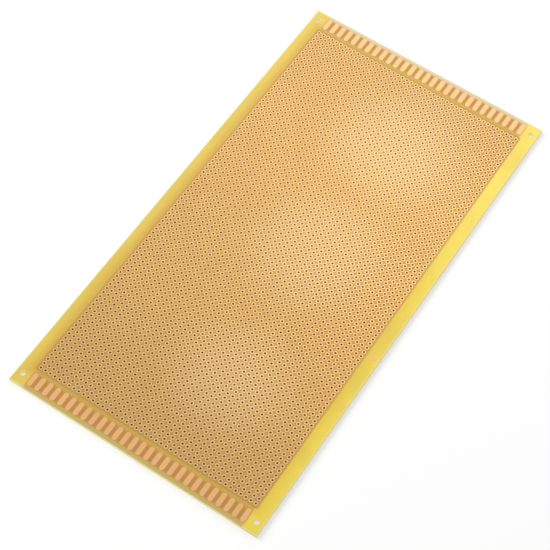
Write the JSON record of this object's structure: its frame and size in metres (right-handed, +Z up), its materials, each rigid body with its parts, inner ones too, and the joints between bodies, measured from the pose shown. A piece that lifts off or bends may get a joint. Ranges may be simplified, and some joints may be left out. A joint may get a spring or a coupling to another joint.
{
  "type": "prototype board",
  "caption": "Flat single-sided perforated circuit board with a grid of drilled copper pads, a row of edge contacts at each short end and a hole in each corner.",
  "frame": {"origin": "middle of the underside, which the board rests on", "axes": "+Z up through the copper side, +Y along the long side, +X across the short side"},
  "size_m": [0.128, 0.25, 0.0016],
  "materials": {
    "laminate": "yellow glass and epoxy laminate, satin",
    "pads": "lacquered copper foil, satin",
    "contacts": "lacquered copper foil, satin"
  },
  "bodies": {
    "root": {"laminate": "laminate", "pads": "pads", "contacts_near": "contacts", "contacts_far": "contacts", "copper_mark": "contacts"}
  },
  "joints": []
}
